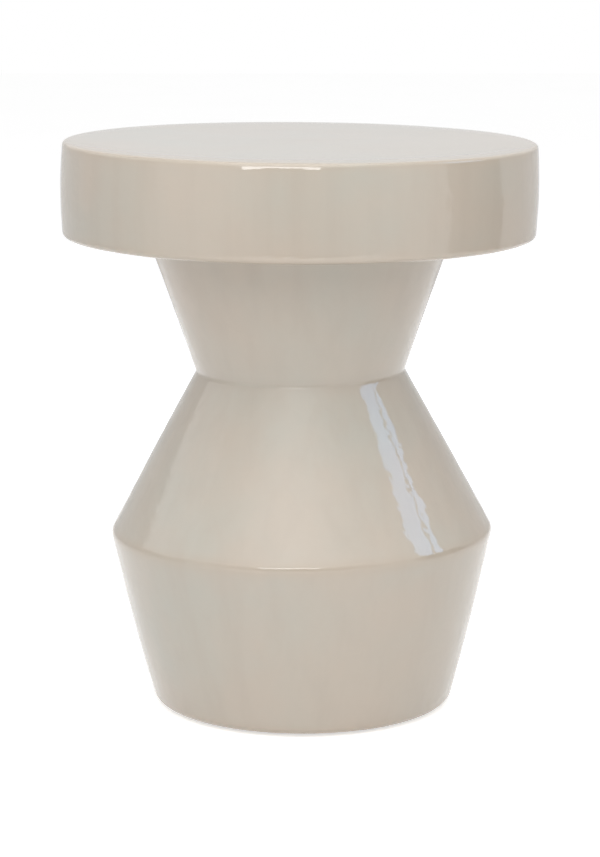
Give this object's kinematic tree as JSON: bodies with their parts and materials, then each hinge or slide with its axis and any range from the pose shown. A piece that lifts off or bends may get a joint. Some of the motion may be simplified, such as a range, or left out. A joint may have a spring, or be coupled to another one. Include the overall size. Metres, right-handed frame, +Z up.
{
  "type": "ceramic garden stool",
  "caption": "Glazed ceramic garden stool: a round drum seat on a flared neck, a narrow waist and a conical belly that tapers to a round foot on felt pads.",
  "frame": {"origin": "on the floor, at the centre of the six felt pads", "axes": "+Z up along the axis of the turned shape; +X and +Y level, +X through the first felt pad"},
  "size_m": [0.3748, 0.3748, 0.45],
  "materials": {
    "clay": "fired stoneware, matt and slightly gritty",
    "slip": "fired slip, matt and smooth",
    "glaze": "warm greige gloss glaze with faint mottling",
    "felt": "pressed felt"
  },
  "bodies": {
    "root": {"base": "clay", "belly_slip_joint": "slip", "shoulder": "clay", "waist_slip_joint": "slip", "neck": "clay", "neck_slip_joint": "slip", "seat_shelf": "clay", "seat_slip_joint": "slip", "seat_cap": "clay", "glaze_coat": "glaze", "foot_pad_1": "felt", "foot_pad_2": "felt", "foot_pad_3": "felt", "foot_pad_4": "felt", "foot_pad_5": "felt", "foot_pad_6": "felt"}
  },
  "joints": []
}
